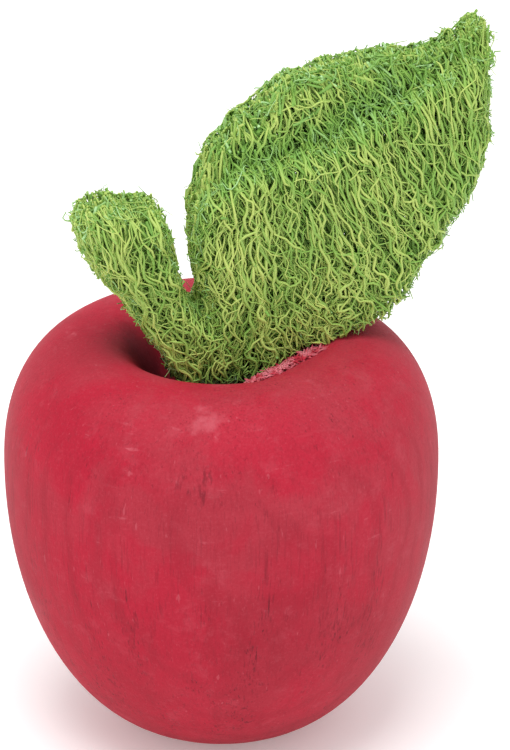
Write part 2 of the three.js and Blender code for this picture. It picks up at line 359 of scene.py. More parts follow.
def stained_wood(body):
    """Red water stain on fine-pored wood.

    It has patches, growth rings, dark bands, fibres and pores along the grain, scratches and turning marks,
    a rubbed patch, flecks and torn grain, and a painted shadow on the well's left wall next to the stalk. It
    is darker low down, partly as painted shade of the lower body, and brighter on the left.
    """
    finish = Finish("stained_wood")
    place = finish.place()
    side, height = (finish.node("ShaderNodeSeparateXYZ", {}, {0: place}, axis) for axis in "XZ")
    grain = finish.stretched(place, (1, 1, 0.06))
    patches = finish.ramp(finish.clouds(place, 105, 5, 0.62, 0.5), 0.38, 0.62)
    wash = finish.ramp(finish.clouds(place, 42, 3, 0.55, 0.6), 0.42, 0.66)
    # Lower body: it is darkened there with deep stain as painted shade, and its bands, fibres and pores show
    # more
    low = finish.ramp(height, 0.040, 0.018)
    left = finish.ramp(side, -0.004, -0.020)

    pith = finish.stretched(place, (1, 1, 0.05), (math.radians(3), math.radians(-4), 0))
    from_pith = finish.distance(pith, PITH)
    ring_turn = (from_pith + finish.clouds(place, 90, 3) * 0.005) * 2300
    ring = finish.ramp(finish.node("ShaderNodeMath", {"operation": "SINE"}, {0: ring_turn}), 0.3, 1.0)

    crowd = finish.ramp(finish.clouds(grain, 190, 3), 0.44, 0.62)
    band = finish.ramp(finish.clouds(grain, 560, 3, 0.6), 0.50, 0.66)
    fibre = finish.ramp(finish.clouds(grain, 3400, 3, 0.65), 0.50, 0.70)
    pore = finish.ramp(finish.clouds(grain, 2300, 2, 0.6, 0.3), 0.66, 0.74)
    mottle = finish.clouds(place, 2900, 4, 0.75)
    speck = finish.ramp(finish.clouds(place, 4300, 2, 0.6), 0.68, 0.78)
    scratch = finish.ramp(
        finish.clouds(finish.stretched(place, (1, 1, 0.22), (0.5, 0.9, 0.3)), 1500, 2), 0.70, 0.76
    )
    rub = finish.ramp(finish.clouds(place, 260, 5, 0.7, 0.2), 0.53, 0.70)
    patch = finish.blot(place, RUBBED_PATCH, 800, 0.005, 0.0056, 0.0034)
    slanted = finish.stretched(place, (1, 1, 0.16), (0, math.radians(24), 0))
    fleck = finish.ramp(finish.distance(place, FLECKS), 0.0042, 0.0018)
    fleck = fleck * finish.ramp(finish.clouds(slanted, 1500, 2), 0.50, 0.68)
    marks = finish.ramp(finish.clouds(finish.stretched(place, (0.14, 0.14, 1)), 2400, 2), 0.62, 0.74)
    # Painted shadow on the well's left wall, next to the stalk
    well_shadow = finish.blot(place, WELL_SHADOW, 420, 0.006, 0.0088, 0.0042)
    torn = finish.node("ShaderNodeAttribute", {"attribute_name": "torn"}, {}, "Fac")

    dull = patches * 0.62 + 0.22 - low * (0.16 + left * 0.4) - left * 0.30
    red = finish.mixed(dull, body.stain_bright, body.stain_dull)
    # Deeper stain in random washes, plus painted shade that darkens the lower body
    red = finish.mixed(wash * 0.30 + low * 0.28, red, body.deep_stain_and_shade)
    red = finish.mixed(ring * finish.ramp(height, 0.049, 0.038) * 0.26, red, body.deep_stain_and_shade)
    red = finish.mixed(band * (0.14 + low * 0.26), red, body.deep_stain_and_shade)
    # A painted shadow in the well and real dark flecks, both in the pore colour
    red = finish.mixed(well_shadow * 0.64 + fleck * 0.5, red, body.pore)
    red = finish.mixed(finish.ramp(mottle, 0.50, 0.32) * 0.30, red, body.deep_stain_and_shade)
    red = finish.mixed(finish.ramp(mottle, 0.52, 0.72) * 0.12, red, body.stain_pale)
    red = finish.mixed(fibre * (0.12 + crowd * (0.18 + low * 0.34)), red, body.pore)
    red = finish.mixed(pore * (0.20 + crowd * (0.35 + low * 0.50)), red, body.pore)
    red = finish.mixed(rub * 0.10 + patch * 0.42, red, body.stain_pale)
    red = finish.mixed(marks * (0.05 + rub * 0.35) * (1 - low), red, body.stain_pale)
    red = finish.mixed(speck * 0.16 + scratch * 0.25, red, body.stain_pale)
    red = finish.mixed(torn, red, body.torn)

    relief = fibre * -0.4 - pore * 0.8 + mottle * 0.5 + torn * finish.clouds(place, 1500, 4, 0.7) * 3
    bump = finish.node(
        "ShaderNodeBump", {}, {"Strength": 0.4, "Distance": 0.00012, "Height": relief}, "Normal"
    )
    return finish.surface(
        Base_Color=red,
        Roughness=0.56 + patches * 0.08 + torn * 0.25,
        Normal=bump,
        Specular_IOR_Level=0.12,
    )


def dyed_luffa(luffa):
    """Matt plant fibre. Each strand's own map gives its tint, from yellow to blue-green, and its painted
    shade.
    """
    finish = Finish(LUFFA_FINISH)
    own_map = finish.node("ShaderNodeUVMap", {"uv_map": BAKE_MAP}, {})
    tint, shade = (finish.node("ShaderNodeSeparateXYZ", {}, {0: own_map}, axis) for axis in range(2))
    green = finish.mixed(finish.ramp(tint, 0.0, 0.5), luffa.pale, luffa.leafy)
    green = finish.mixed(finish.ramp(tint, 0.5, 1.0), green, luffa.cut)
    # Painted shade: deeper strands mix towards the inner colour, and strands down in the well towards the
    # well's shade
    green = finish.mixed(finish.ramp(shade, 0.0, 0.7), green, luffa.inner)
    green = finish.mixed(finish.ramp(shade, 0.7, 1.0), green, luffa.well_shade)
    return finish.surface(Base_Color=green, Roughness=0.48, Specular_IOR_Level=0.45)


def rounded_quarter(roundness, steps):
    """A quarter of a rounded curve, as shares of its radius (from 1 to 0) and height (from 0 to 1)."""
    turns = np.linspace(0, math.pi / 2, steps + 1)
    return np.cos(turns).clip(0) ** (2 / roundness), np.sin(turns) ** (2 / roundness)


def body_profile(body):
    """The turned outline, from the axis underneath round to the axis in the hole."""
    out, up = rounded_quarter(body.belly_roundness, CURVE_STEPS)
    belly = np.c_[body.rest_radius + (body.radius - body.rest_radius) * out, body.widest_height * (1 - up)]
    out, up = rounded_quarter(body.shoulder_roundness, CURVE_STEPS)
    shoulder = np.c_[
        body.crest_radius + (body.radius - body.crest_radius) * out,
        body.widest_height + (body.height - body.widest_height) * up,
    ]
    crest, edge = np.array([(body.crest_radius, body.height), (body.lip_radius, body.lip_height)])
    mouth = np.array((body.hole_radius, body.hole_mouth))
    corner = edge + (edge - mouth) * (crest - edge)[1] / (edge - mouth)[1]
    foot = corner + (mouth - corner) * LIP_SHARE
    t = np.linspace(0, 1, LIP_STEPS + 1)[:, None]
    lip = crest * (1 - t) ** 2 + corner * 2 * t * (1 - t) + foot * t**2
    wall = foot + (mouth - foot) * np.linspace(0, 1, WALL_STEPS + 1)[:, None]
    hole = [(body.hole_radius, body.hole_floor), (0, body.hole_floor)]
    return np.vstack([[(0, 0)], belly[::-1], shoulder[1:], lip[1:], wall[1:], hole])


def torn_lip(place, body):
    """Where the torn lip moves a place of the body to, and how torn the grain is there, from 0 to 1."""
    around = math.atan2(place.y, place.x) - TEAR_ANGLE
    radius = math.hypot(place.x, place.y)
    if abs(around) > TEAR_HALF_ANGLE or radius > body.crest_radius or place.z < body.hole_mouth:
        return place, 0.0
    straight = TEAR_DISTANCE / math.cos(around)
    rise = smooth((place.z - body.hole_mouth) / (body.lip_height - body.hole_mouth) * 1.6 - 0.6)
    inward = max(body.lip_radius - straight, 0) * rise
    inward *= smooth((body.crest_radius - radius) / (body.crest_radius - body.lip_radius))
    moved = place * 1.0
    moved.xy *= (radius - inward) / radius
    rough = noise.fractal(place / (1.1 * MM), 0.8, 2.0, 4)
    across = (radius - inward - straight + 0.6 * MM) / TEAR_WIDTH
    torn = (1 - abs(2 * across - 0.9)) * (1 - (around / TEAR_HALF_ANGLE) ** 4) * rise
    torn = min(max((torn + 0.5 * rough - 0.1) * 2.4, 0.0), 1.0)
    chip = noise.fractal(place / (0.6 * MM), 0.7, 2.0, 3)
    moved.z -= torn * TEAR_DEPTH * (0.4 + chip)
    return moved, torn


def new_piece(name, mesh, material, slot, *nodes):
    """Links a finished mesh as a piece that rides on the root and stands for these CAD nodes."""
    mesh.materials.clear()
    mesh.materials.append(material)
    mesh.polygons.foreach_set("use_smooth", np.ones(len(mesh.polygons), bool))
    piece = bpy.data.objects.new(name, mesh)
    bpy.context.scene.collection.objects.link(piece)
    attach(piece, "root")
    if nodes:
        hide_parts(*nodes)


def mesh_of(shape, name):
    """A mesh of the bmesh, with doubles merged and faces pointing outwards."""
    bmesh.ops.remove_doubles(shape, verts=shape.verts, dist=0.002 * MM)
    bmesh.ops.recalc_face_normals(shape, faces=shape.faces)
    mesh = bpy.data.meshes.new(name)
    shape.to_mesh(mesh)
    shape.free()
    return mesh


class APPLETOY_OT_body(bpy.types.Operator):
    """Turn the wooden body, with its well, its drilled hole and the torn grain on its lip"""

    bl_idname = "appletoy.body"
    bl_label = "Turn Body"

    def execute(self, context):
        body = context.scene.appletoy_body
        shape = bmesh.new()
        points = [shape.verts.new((radius, 0, height)) for radius, height in body_profile(body)]
        edges = [shape.edges.new(pair) for pair in zip(points, points[1:])]
        bmesh.ops.spin(
            shape, geom=points + edges, axis=(0, 0, 1), angle=2 * math.pi, steps=BODY_SIDES, use_merge=True
        )
        mesh = mesh_of(shape, "apple_wood")
        torn = mesh.attributes.new("torn", "FLOAT", "POINT")
        for point in mesh.vertices:
            point.co, torn.data[point.index].value = torn_lip(point.co, body)
        new_piece("apple_wood", mesh, stained_wood(body), "stained_wood", "apple_body")
        return {"FINISHED"}


class APPLETOY_OT_splinters(bpy.types.Operator):
    """Raise splinters of torn grain along the well's lip"""

    bl_idname = "appletoy.splinters"
    bl_label = "Raise Splinters"

    def execute(self, context):
        body = context.scene.appletoy_body
        rng = np.random.default_rng(SPLINTER_SEED)
        shape = bmesh.new()
        along = Vector((-math.sin(TEAR_ANGLE), math.cos(TEAR_ANGLE), 0))
        outward = Vector((math.cos(TEAR_ANGLE), math.sin(TEAR_ANGLE), 0))
        half = TEAR_DISTANCE * math.tan(TEAR_HALF_ANGLE)
        for _ in range(SPLINTER_COUNT):
            run, across = rng.uniform(-0.95, 0.95), rng.beta(1.6, 2.4)
            place = along * run * half + outward * (TEAR_DISTANCE + (across - 0.2) * TEAR_WIDTH)
            place.z = body.lip_height + (body.height - body.lip_height) * min(across, 0.7) - 0.1 * MM
            long, wide = rng.uniform(0.6, 2.4) * MM, rng.uniform(0.12, 0.34) * MM
            tip = rng.uniform(1.0, 1.7)
            heading = TEAR_ANGLE + rng.choice((0, math.pi)) + rng.normal(0, 0.6)
            tilt = Euler((tip, 0, heading)).to_matrix().to_4x4()
            lay = Matrix.Translation(place) @ tilt @ Matrix.Diagonal((1, 0.5, 1, 1))
            bmesh.ops.create_cone(
                shape, cap_ends=True, segments=5, radius1=wide, radius2=0.25 * wide, depth=long, matrix=lay
            )
        finish = Finish("torn_grain")
        share = finish.ramp(finish.clouds(finish.place(), 900, 3), 0.35, 0.65)
        pink = finish.mixed(share, body.torn, body.stain_bright)
        material = finish.surface(Base_Color=pink, Roughness=0.8)
        new_piece("lip_splinters", mesh_of(shape, "lip_splinters"), material, "stained_wood")
        return {"FINISHED"}


def curve_through(points, steps):
    """Points along a smooth curve that runs through the given points."""
    points = np.array(points, float)
    before = np.vstack([points[:1], points[:-2]])
    after = np.vstack([points[2:], points[-1:]])
    start, end = points[:-1, None], points[1:, None]
    leave, arrive = (end[:, 0] - before)[:, None] / 2, (after - start[:, 0])[:, None] / 2
    t = np.linspace(0, 1, steps, endpoint=False)[None, :, None]
    spans = (
        start * (2 * t**3 - 3 * t**2 + 1)
        + end * (3 * t**2 - 2 * t**3)
        + leave * (t**3 - 2 * t**2 + t)
        + arrive * (t**3 - t**2)
    )
    return np.vstack([spans.reshape(-1, 2), points[-1:]])


class Cut:
    """The cut outline of one half of the luffa sheet, with a grid of distances to it."""

    def __init__(self, top_edge):
        leaf = curve_through(top_edge + LEAF_LOWER_EDGE, SPAN_STEPS)
        stalk = curve_through(STALK_EDGE, SPAN_STEPS)
        self.outline = self.ragged(np.vstack([leaf, stalk[:-1]]))
        self.low = self.outline.min(0) - GRID_MARGIN
        self.high = self.outline.max(0) + GRID_MARGIN
        places = self.cells((GRID_STEP, GRID_STEP))
        self.grid = self.measured(places.reshape(-1, 2)).reshape(places.shape[:2])

    def ragged(self, outline):
        """The outline with small bumps and dips, as scissors leave it."""
        along = unit(np.roll(outline, -1, 0) - np.roll(outline, 1, 0))
        count = np.arange(len(outline))
        bumps = RAGGED * (np.sin(1.3 * count) + np.sin(0.47 * count + 2) + np.sin(0.83 * count + 1))
        return outline + np.c_[-along[:, 1], along[:, 0]] * bumps[:, None]

    def cells(self, cell):
        """The low corner of each cell of a grid over the sheet."""
        across, height = (np.arange(low, high, step) for low, high, step in zip(self.low, self.high, cell))
        return np.stack(np.meshgrid(across, height, indexing="ij"), -1)

    def measured(self, places):
        """Distance to the outline, positive inside."""
        nearest = np.full(len(places), np.inf)
        inside = np.zeros(len(places), bool)
        for start, end in zip(self.outline, np.roll(self.outline, -1, 0)):
            edge, away = end - start, places - start
            share = ((away @ edge) / (edge @ edge)).clip(0, 1)
            nearest = np.minimum(nearest, np.hypot(*(away - share[:, None] * edge).T))
            beside = (start[1] > places[:, 1]) != (end[1] > places[:, 1])
            if beside.any():
                inside ^= beside & (away[:, 0] < away[:, 1] / edge[1] * edge[0])
        return np.where(inside, nearest, -nearest)

    def inside(self, places):
        """Distance to the outline, read from the grid, positive inside."""
        where = ((places - self.low) / GRID_STEP).clip(0, np.array(self.grid.shape) - 1.001)
        i, j = np.moveaxis(where.astype(int), -1, 0)
        s, t = np.moveaxis(where % 1, -1, 0)
        left = self.grid[i, j] * (1 - t) + self.grid[i, j + 1] * t
        right = self.grid[i + 1, j] * (1 - t) + self.grid[i + 1, j + 1] * t
        return left * (1 - s) + right * s

    def sown(self, rng, cell):
        """A random place in each cell of a grid, where that is inside the outline, and its column."""
        places = self.cells(cell)
        columns = np.broadcast_to(np.arange(len(places))[:, None], places.shape[:2])
        places = places + rng.uniform(0, 1, places.shape) * cell
        kept = self.inside(places) > 0
        return places[kept], columns[kept]

    def edge_places(self, rng, count):
        """Random places on the outline above the hole, with the inward direction at each."""
        start, end = self.outline, np.roll(self.outline, -1, 0)
        lengths = np.hypot(*(end - start).T) * (np.minimum(start, end)[:, 1] > FOOT_TOP + 1)
        pick = rng.choice(len(start), count, p=lengths / lengths.sum())
        along = (end - start)[pick]
        places = start[pick] + along * rng.uniform(0, 1, (count, 1))
        across = np.c_[-along[:, 1], along[:, 0]] / lengths[pick, None]
        return places, across * np.sign(self.inside(places + across))[:, None]


class Sheet:
    """The luffa sheet's shape: a front and a back half, with edges that are round at both faces."""

    def __init__(self, luffa):
        self.front, self.back = Cut(FRONT_TOP_EDGE), Cut(BACK_TOP_EDGE)
        self.half = luffa.thickness / 2 / MM

    def halves(self, from_face):
        """Each half's outline, with its least and greatest depth, this far from the sheet's faces."""
        limit = self.half - from_face
        return (self.front, -limit, STEP_DEPTH), (self.back, STEP_DEPTH, limit)

    def rim_inset(self, depth, height):
        """How far the round edge lies in from the outline at a depth."""
        below = (self.half - np.abs(depth)) / RIM_DEPTH / rim_size(height)
        return RIM_WIDTH * rim_size(height) * (1 - np.sqrt(below.clip(0, 1)))

    def room(self, places):
        """How far in from the cut edge places lie, given as across, depth and height."""
        depth, flat = places[..., 1], places[..., [0, 2]]
        inside = np.where(depth < STEP_DEPTH, self.front.inside(flat), self.back.inside(flat))
        return inside - self.rim_inset(depth, places[..., 2])

    def fold(self, flat):
        """How near a place is to the fold along the front half's top, from 0 to 1."""
        on_top = smooth((flat[..., 1] - 0.45 * flat[..., 0] - 60) / 6) * smooth((flat[..., 0] + 6.5) / 3)
        on_top = on_top * smooth((33 - flat[..., 0]) / 9)
        return on_top * smooth(1 - np.abs(self.front.inside(flat) + 0.6) / FOLD_WIDTH)


def rim_size(height):
    """Share of its full size that the round of the cut edge has at a height."""
    return 0.25 + 0.75 * smooth((height - 51) / 6)


class Face(NamedTuple):
    """A woven face of the sheet: the half that it is on, its side (-1 looks to the front) and its level.

    The level is how far out the face lies from the sheet's middle. A face behind a half stops behind it.
    """

    cut: Cut
    side: int
    level: float
    behind: Cut | None = None

    def room(self, flat):
        """How far in from the face's own edge places lie."""
        inside = self.cut.inside(flat)
        if self.behind:
            return np.minimum(inside, BAND_OVERLAP - self.behind.inside(flat))
        return inside

    def depth(self, flat, deep):
        """The depth of places that lie deep under the face, which curves away at its edge."""
        size = rim_size(flat[..., 1])
        drop = (1 - self.cut.inside(flat) / RIM_WIDTH / size).clip(0, 1) ** 2
        return self.side * (self.level - deep - RIM_DEPTH * size * drop)


def smooth(value):
    """0 up to 0, 1 from 1, and a smooth step between."""
    value = np.clip(value, 0, 1)
    return value * value * (3 - 2 * value)


def unit(vectors):
    """The vectors at length 1."""
    return vectors / np.linalg.norm(vectors, axis=-1, keepdims=True)


def grain_lean(across, height):
    """The strands' lean from upright, in radians; to the right is positive."""
    leaf = -LEAF_LEAN * np.sin(math.pi * np.clip((across + 2) / 36, 0, 1)) ** 1.3
    stalk = -STALK_LEAN + STALK_STRAIGHTENS * smooth((height - 52) / 16)
    in_stalk = smooth((-2.2 - 0.12 * np.clip(height - 52, 0, 20) - across) / 3.5)
    low = smooth((50 - height) / 6)
    return (leaf * (1 - in_stalk) + stalk * in_stalk) * (1 - 0.5 * low)


def painted_hole_shade(height):
    """Extra painted shade of the strands that go down into the well, from 0 to 1."""
    return smooth((FOOT_TOP + 4.8 - height) / 3.2)


def dye_drift(across, height):
    """Slow drift of the dye over the sheet, from 0 (yellower) to 1 (greener)."""
    waves = np.sin(0.33 * across + 0.21 * height + 0.5) + np.sin(0.19 * height - 0.37 * across + 2)
    return 0.40 - 0.20 * waves + 0.30 * smooth((across - 8) / 24) - 0.2 * smooth((56 - height) / 7)


def curliness(across, height):
    """How much the strands wave and kink; 1 is middling."""
    waves = np.sin(0.41 * across + 0.17 * height) + np.sin(0.29 * height - 0.23 * across + 1)
    return 0.85 + 0.25 * waves + 0.7 * smooth((63 - height) / 9)


class StrandStyle(NamedTuple):
    """How one kind of strand is sown and runs: sizes in millimetres, angles in radians."""

    cell: tuple
    length: tuple
    radius: tuple
    stray: float
    swerve: float
    wave: float
    wave_length: float
    kink: float
    lift: float
    rise: float


NET = StrandStyle(
    cell=(0.82, 6.5), length=(6, 20), radius=(0.08, 0.20), stray=0.09, swerve=0.14,
    wave=0.52, wave_length=5.2, kink=0.14, lift=0.24, rise=0.0,
)
TIE = StrandStyle(
    cell=(1.5, 2.6), length=(2.6, 7.0), radius=(0.07, 0.17), stray=0.20, swerve=1.05,
    wave=0.40, wave_length=4.2, kink=0.22, lift=0.28, rise=0.10,
)
HAIR = StrandStyle(
    cell=(2.2, 2.4), length=(2.5, 9), radius=(0.05, 0.10), stray=0.80, swerve=0.80,
    wave=0.60, wave_length=4.0, kink=0.30, lift=0.20, rise=0.22,
)


class TangleStyle(NamedTuple):
    """How short strands bend and how far they reach past the cut edge: sizes in millimetres."""

    length: tuple
    radius: tuple
    curl: float
    reach: float


CUT_EDGE = TangleStyle(length=(3.0, 8.5), radius=(0.08, 0.19), curl=0.26, reach=0.08)
CORE = TangleStyle(length=(2.4, 6.0), radius=(0.12, 0.24), curl=0.32, reach=0.05)
FRAY = TangleStyle(length=(1.2, 3.8), radius=(0.04, 0.09), curl=1.1, reach=0.36)


class Strands:
    """A bundle of luffa strands, gathered as paths in the sheet's coordinates and made one mesh.

    Each point of a path has its place (across, depth and height), its radius, its tint and its painted shade.
    """

    def __init__(self, luffa, sheet, seed):
        self.turn = luffa.turn
        self.sheet = sheet
        self.rng = np.random.default_rng(luffa.seed + seed)
        self.paths = []

    def add(self, paths, room):
        """Adds each path's run through its middle that has room, cut just where the room ends."""
        middle = paths.shape[1] // 2
        for path, left in zip(paths, room):
            full = np.flatnonzero(left <= 0)
            first = full[full <= middle].max(initial=-1)
            last = full[full > middle].min(initial=len(path))
            if last - first < 4:
                continue
            run = path[first + 1 : last]
            if first >= 0:
                share = max(left[first + 1] / (left[first + 1] - left[first]), 0.1)
                run = np.vstack([run[0] + (path[first] - run[0]) * share, run])
            if last < len(path):
                share = max(left[last - 1] / (left[last - 1] - left[last]), 0.1)
                run = np.vstack([run, run[-1] + (path[last] - run[-1]) * share])
            self.paths.append(run)

    def weave(self, style, face, below):
        """Sows strands of one style at a depth below a face, and runs each both ways along the grain."""
        rng = self.rng
        starts, columns = face.cut.sown(rng, style.cell)
        count = len(starts)
        half = rng.uniform(*style.length, count) / 2
        steps = int(style.length[1] / 2 / STRAND_STEP) + 1
        along = np.arange(-steps, steps + 1) * STRAND_STEP
        stray = rng.normal(0, style.stray, count)
        swerve = rng.uniform(-style.swerve, style.swerve, count)
        pitch = 2 * math.pi / style.wave_length
        phase = math.pi * columns + pitch * starts[:, 1] + rng.normal(0, 0.5, count)
        wave = style.wave * rng.uniform(0.6, 1.3, count)
        flat = np.empty((count, len(along), 2))
        flat[:, steps] = starts
        for way in (1, -1):
            place = starts
            for step in range(1, steps + 1):
                run = way * step * STRAND_STEP
                turn = wave * np.sin(run * pitch + phase) + rng.normal(0, style.kink, count)
                lean = grain_lean(*place.T) + stray + turn * curliness(*place.T)
                lean += swerve * np.cos(math.pi * np.clip(run / half, -1, 1) / 2)
                place = place + way * STRAND_STEP * np.c_[np.sin(lean), np.cos(lean)]
                flat[:, steps + way * step] = place
        turn = rng.uniform(0.6, 1.2, (count, 1)) * along + rng.uniform(0, 6, (count, 1))
        deep = (below - style.rise + rng.normal(0, 0.1, (count, 1)) + style.lift * np.sin(turn)).clip(0)
        depth = face.depth(flat, deep)
        over = (half[:, None] - np.abs(along)).clip(-1)
        taper = (over / 1.6 + 0.4).clip(0.4, 1) * (1 + 0.18 * np.sin(1.7 * turn + 1))
        low, high = style.radius
        radius = (low + (high - low) * rng.uniform(0, 1, (count, 1)) ** 1.4) * taper
        room = face.room(flat) - 0.3 * deep
        fold = self.sheet.fold(flat)
        # Painted shade: strands are darker the deeper they lie under the face, and darker still down in the
        # well
        shade = np.minimum(deep, room.clip(0) + 0.1) / SHADE_DEPTH + rng.normal(0, 0.06, (count, 1))
        shade = shade.clip(0, 0.65) + painted_hole_shade(flat[..., 1])
        own = OWN_TINT * rng.beta(0.6, 0.9, (count, 1))
        tint = own + DRIFT_TINT * dye_drift(flat[..., 0], flat[..., 1]) + FOLD_TINT * fold
        paths = np.stack([flat[..., 0], depth, flat[..., 1], radius, tint.clip(0, 1), shade.clip(0, 1)], -1)
        reach = rng.exponential(0.08, (count, 1)).clip(0, 0.4)
        self.add(paths, np.minimum(room + reach, over))

    def tangle(self, style, centres, headings, tints, shades):
        """Short strands that bend at random through centres, cut off at the sheet's edge."""
        rng, count = self.rng, len(centres)
        t = np.linspace(-0.5, 0.5, TANGLE_POINTS)[:, None]
        bends = rng.normal(0, style.curl, (2, count, 1, 3))
        run = headings[:, None] * t + bends[0] * (t * t - 0.08) + bends[1] * (2 * t**3 - 0.3 * t)
        places = centres[:, None] + run * rng.uniform(*style.length, (count, 1, 1))
        radius = rng.uniform(*style.radius, (count, 1, 1)) * (1.25 - np.abs(t) * 1.1).clip(0, 1)
        tint = np.broadcast_to(tints[:, None, None], radius.shape)
        shade = (shades[:, None, None].clip(0, 0.65) + painted_hole_shade(places[..., 2:])).clip(0, 1)
        paths = np.concatenate([places, radius, tint, shade], -1)
        reach = rng.exponential(style.reach, (count, 1)).clip(0, 4 * style.reach)
        self.add(paths, self.sheet.room(paths) + reach)

    def to_piece(self, name, finish):
        """Makes the strands one mesh of tubes, and a piece of it that stands for the luffa leaf."""
        curve = bpy.data.curves.new(name, "CURVE")
        curve.dimensions = "3D"
        curve.bevel_depth = MM
        curve.bevel_resolution = STRAND_SIDES // 2 - 2
        curve.use_fill_caps = True
        c, s = math.cos(self.turn) * MM, math.sin(self.turn) * MM
        for path in self.paths:
            across, depth, height, radius = path.T[:4]
            spline = curve.splines.new("POLY")
            spline.points.add(len(path) - 1)
            places = [across * c - depth * s, across * s + depth * c, height * MM, np.ones(len(path))]
            spline.points.foreach_set("co", np.stack(places, -1).ravel())
            spline.points.foreach_set("radius", radius)
        tubes = bpy.data.objects.new(name + "_paths", curve)
        bpy.context.scene.collection.objects.link(tubes)
        evaluated = tubes.evaluated_get(bpy.context.evaluated_depsgraph_get())
        mesh = bpy.data.meshes.new_from_object(evaluated)
        mesh.name = name
        bpy.data.objects.remove(tubes)
        bpy.data.curves.remove(curve)
        self.map_tints(mesh)
        new_piece(name, mesh, finish, "dyed_luffa", "luffa_leaf")

    def map_tints(self, mesh):
        """Gives the mesh a map that holds each ring's tint across it and its painted shade up it.

        The mesh has the strands' end caps first, from the last strand's back to the first's, and then a
        ring of corners round each point.
        """
        rings = [path[:, 4:] for path in self.paths]
        caps = [ring[[-1, 0]] for ring in reversed(rings)]
        values = np.concatenate(caps + rings)
        if len(mesh.vertices) != STRAND_SIDES * len(values):
            raise RuntimeError(f"{mesh.name}: {len(mesh.vertices)} vertices for {len(values)} rings")
        turns = 2 * math.pi * np.arange(STRAND_SIDES) / STRAND_SIDES
        spread = BAKE_WIDTH * np.c_[np.cos(turns), np.sin(turns)]
        places = (values[:, None] + spread).reshape(-1, 2).clip(0.005, 0.995)
        corners = np.empty(len(mesh.loops), np.int32)
        mesh.loops.foreach_get("vertex_index", corners)
        while mesh.uv_layers:
            mesh.uv_layers.remove(mesh.uv_layers[0])
        layer = mesh.uv_layers.new(name=BAKE_MAP)
        layer.uv.foreach_set("vector", places[corners].astype(np.float32).ravel())


def luffa_finish(luffa):
    """The luffa's material, which all its pieces share."""
    return bpy.data.materials.get(LUFFA_FINISH) or dyed_luffa(luffa)


class APPLETOY_OT_faces(bpy.types.Operator):
    """Weave the faces of the luffa sheet, layer by layer"""

    bl_idname = "appletoy.faces"
    bl_label = "Weave Faces"

    def execute(self, context):
        luffa = context.scene.appletoy_luffa
        sheet = Sheet(luffa)
        faces = {
            "front": (Face(sheet.front, -1, sheet.half), 5),
            "back": (Face(sheet.back, 1, sheet.half), 4),
            "band": (Face(sheet.back, -1, -STEP_DEPTH, sheet.front), 5),
        }
        for seed, (name, (face, count)) in enumerate(faces.items()):
            for depth, layers in (("outer", range(OUTER_LAYERS)), ("inner", range(OUTER_LAYERS, count))):
                strands = Strands(luffa, sheet, 10 * seed + layers[0])
                for layer in layers:
                    below = FIRST_LAYER + layer * LAYER_STEP
                    strands.weave(NET, face, below)
                    strands.weave(TIE, face, below)
                    if depth == "outer":
                        strands.weave(HAIR, face, below)
                strands.to_piece(f"luffa_{name}_{depth}", luffa_finish(luffa))
        return {"FINISHED"}


class APPLETOY_OT_core(bpy.types.Operator):
    """Cover the sheet's cut edge with a tangle, fill its core and make its foot"""

    bl_idname = "appletoy.core"
    bl_label = "Fill Core"

    def execute(self, context):
        luffa = context.scene.appletoy_luffa
        sheet = Sheet(luffa)
        strands = Strands(luffa, sheet, 40)
        for cut, low, high in sheet.halves(EDGE_FROM_FACE):
            self.cover_edge(strands, cut, low, high)
        strands.to_piece("luffa_edge", luffa_finish(luffa))
        strands = Strands(luffa, sheet, 60)
        self.fill(strands)
        self.add_foot(strands)
        strands.to_piece("luffa_core", luffa_finish(luffa))
        return {"FINISHED"}

    def cover_edge(self, strands, cut, low, high):
        """Strands that lie along the cut edge of one half of the sheet, between two depths."""
        rng, count = strands.rng, int(EDGE_DENSITY * (high - low))
        flat, inward = cut.edge_places(rng, count)
        depth = rng.uniform(low, high, count)
        deep = rng.uniform(0, 1, count) ** 1.5 * EDGE_FILL
        flat = flat + inward * (deep + strands.sheet.rim_inset(depth, flat[:, 1]))[:, None]
        lean = grain_lean(*flat.T)
        grain = np.c_[np.sin(lean), np.cos(lean)]
        end = smooth(np.abs((grain * inward).sum(1)) * 1.6 - 0.5)
        along = grain * rng.choice((-1, 1), (count, 1))
        along += np.c_[-inward[:, 1], inward[:, 0]] * (rng.normal(0, 0.16, count) * (1 + 3 * end))[:, None]
        headings = unit(np.c_[along[:, 0], rng.normal(0, 0.2, count) * (1 + 3 * end), along[:, 1]])
        tints = rng.uniform(0, 0.25, count) + end * rng.uniform(0, 0.75, count)
        # Painted shade: strands deeper in the cut edge are darker
        shades = 0.4 * smooth(deep / EDGE_FILL)
        centres = np.c_[flat[:, 0], depth, flat[:, 1]]
        strands.tangle(CUT_EDGE, centres, headings, tints, shades)

    def fill(self, strands):
        """A loose tangle all through the sheet."""
        sheet, rng = strands.sheet, strands.rng
        for _ in range(CORE_LAYERS):
            flat, _ = sheet.back.sown(rng, CORE_CELL)
            count = len(flat)
            depth = rng.uniform(-1, 1, count) * (sheet.half - 1.5)
            headings = unit(rng.normal(0, 1, (count, 3)) * (0.7, 0.5, 1))
            centres = np.c_[flat[:, 0], depth, flat[:, 1]]
            tints = rng.uniform(0.3, 0.8, count)
            # Painted shade: all the core's strands are shaded
            strands.tangle(CORE, centres, headings, tints, np.full(count, 0.6))

    def add_foot(self, strands):
        """Upright strands that run down from the sheet to the floor of the drilled hole."""
        rng = strands.rng
        low, high = FOOT_HEIGHTS
        for _ in range(FOOT_STRANDS):
            height = np.arange(low, rng.uniform(high - 4, high), 1.0)
            wave = 0.3 * np.sin(height[:, None] * rng.uniform(0.5, 1.1, 2) + rng.uniform(0, 6, 2))
            across, depth = (rng.uniform(-1, 1, 2) * FOOT_HALF + wave).T
            radius, tint = (np.full(len(height), rng.uniform(*span)) for span in ((0.14, 0.28), (0.1, 0.6)))
            # Painted shade: the foot's strands are shaded, and more so down in the well
            shade = (0.5 + painted_hole_shade(height)).clip(0, 1)
            strands.paths.append(np.c_[across, depth, height, radius, tint, shade])


